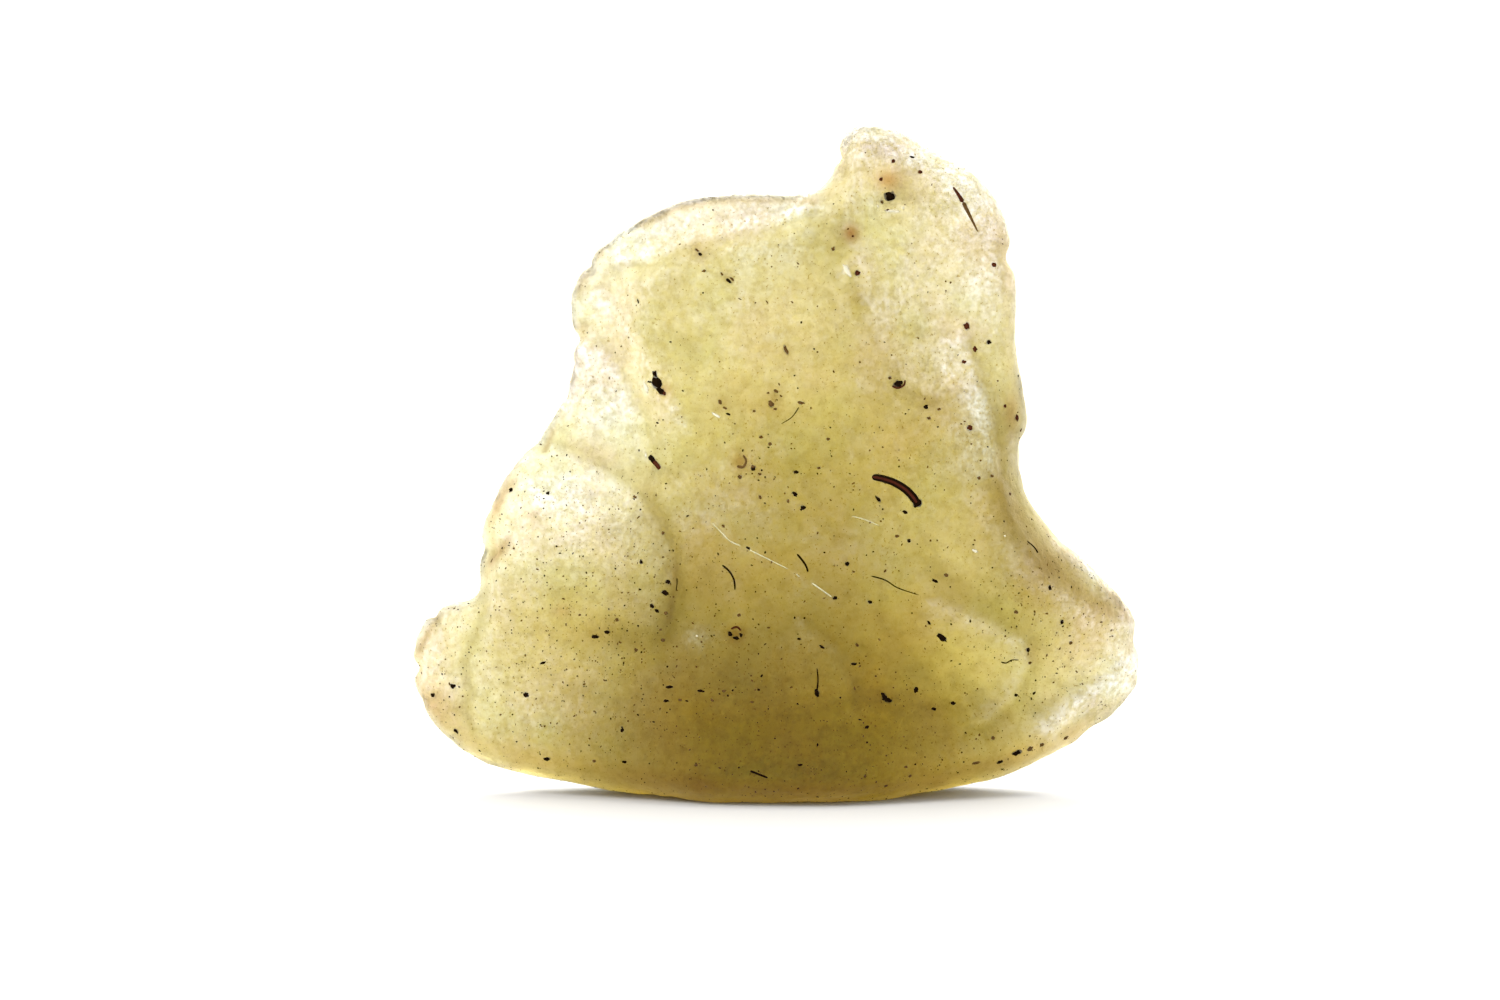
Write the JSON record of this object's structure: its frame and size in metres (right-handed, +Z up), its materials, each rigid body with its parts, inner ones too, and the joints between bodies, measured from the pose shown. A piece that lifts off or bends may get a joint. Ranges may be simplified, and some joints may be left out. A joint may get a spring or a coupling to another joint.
{
  "type": "libyan desert glass",
  "caption": "Frosted, translucent pale yellow natural glass stone, a thick foot narrowing to a thin blade with a knob at one upper corner, standing upright on a small flat.",
  "frame": {"origin": "bottom centre of the bounding box, on the surface that the stone stands on", "axes": "+X to the right seen from the front, along the longest extent; +Y from the front to the back, through the thickness; +Z up"},
  "size_m": [0.0558, 0.0138, 0.0512],
  "materials": {
    "desert_glass": "naturally frosted, wind-worn"
  },
  "bodies": {
    "root": {"desert_glass": "desert_glass"}
  },
  "joints": []
}
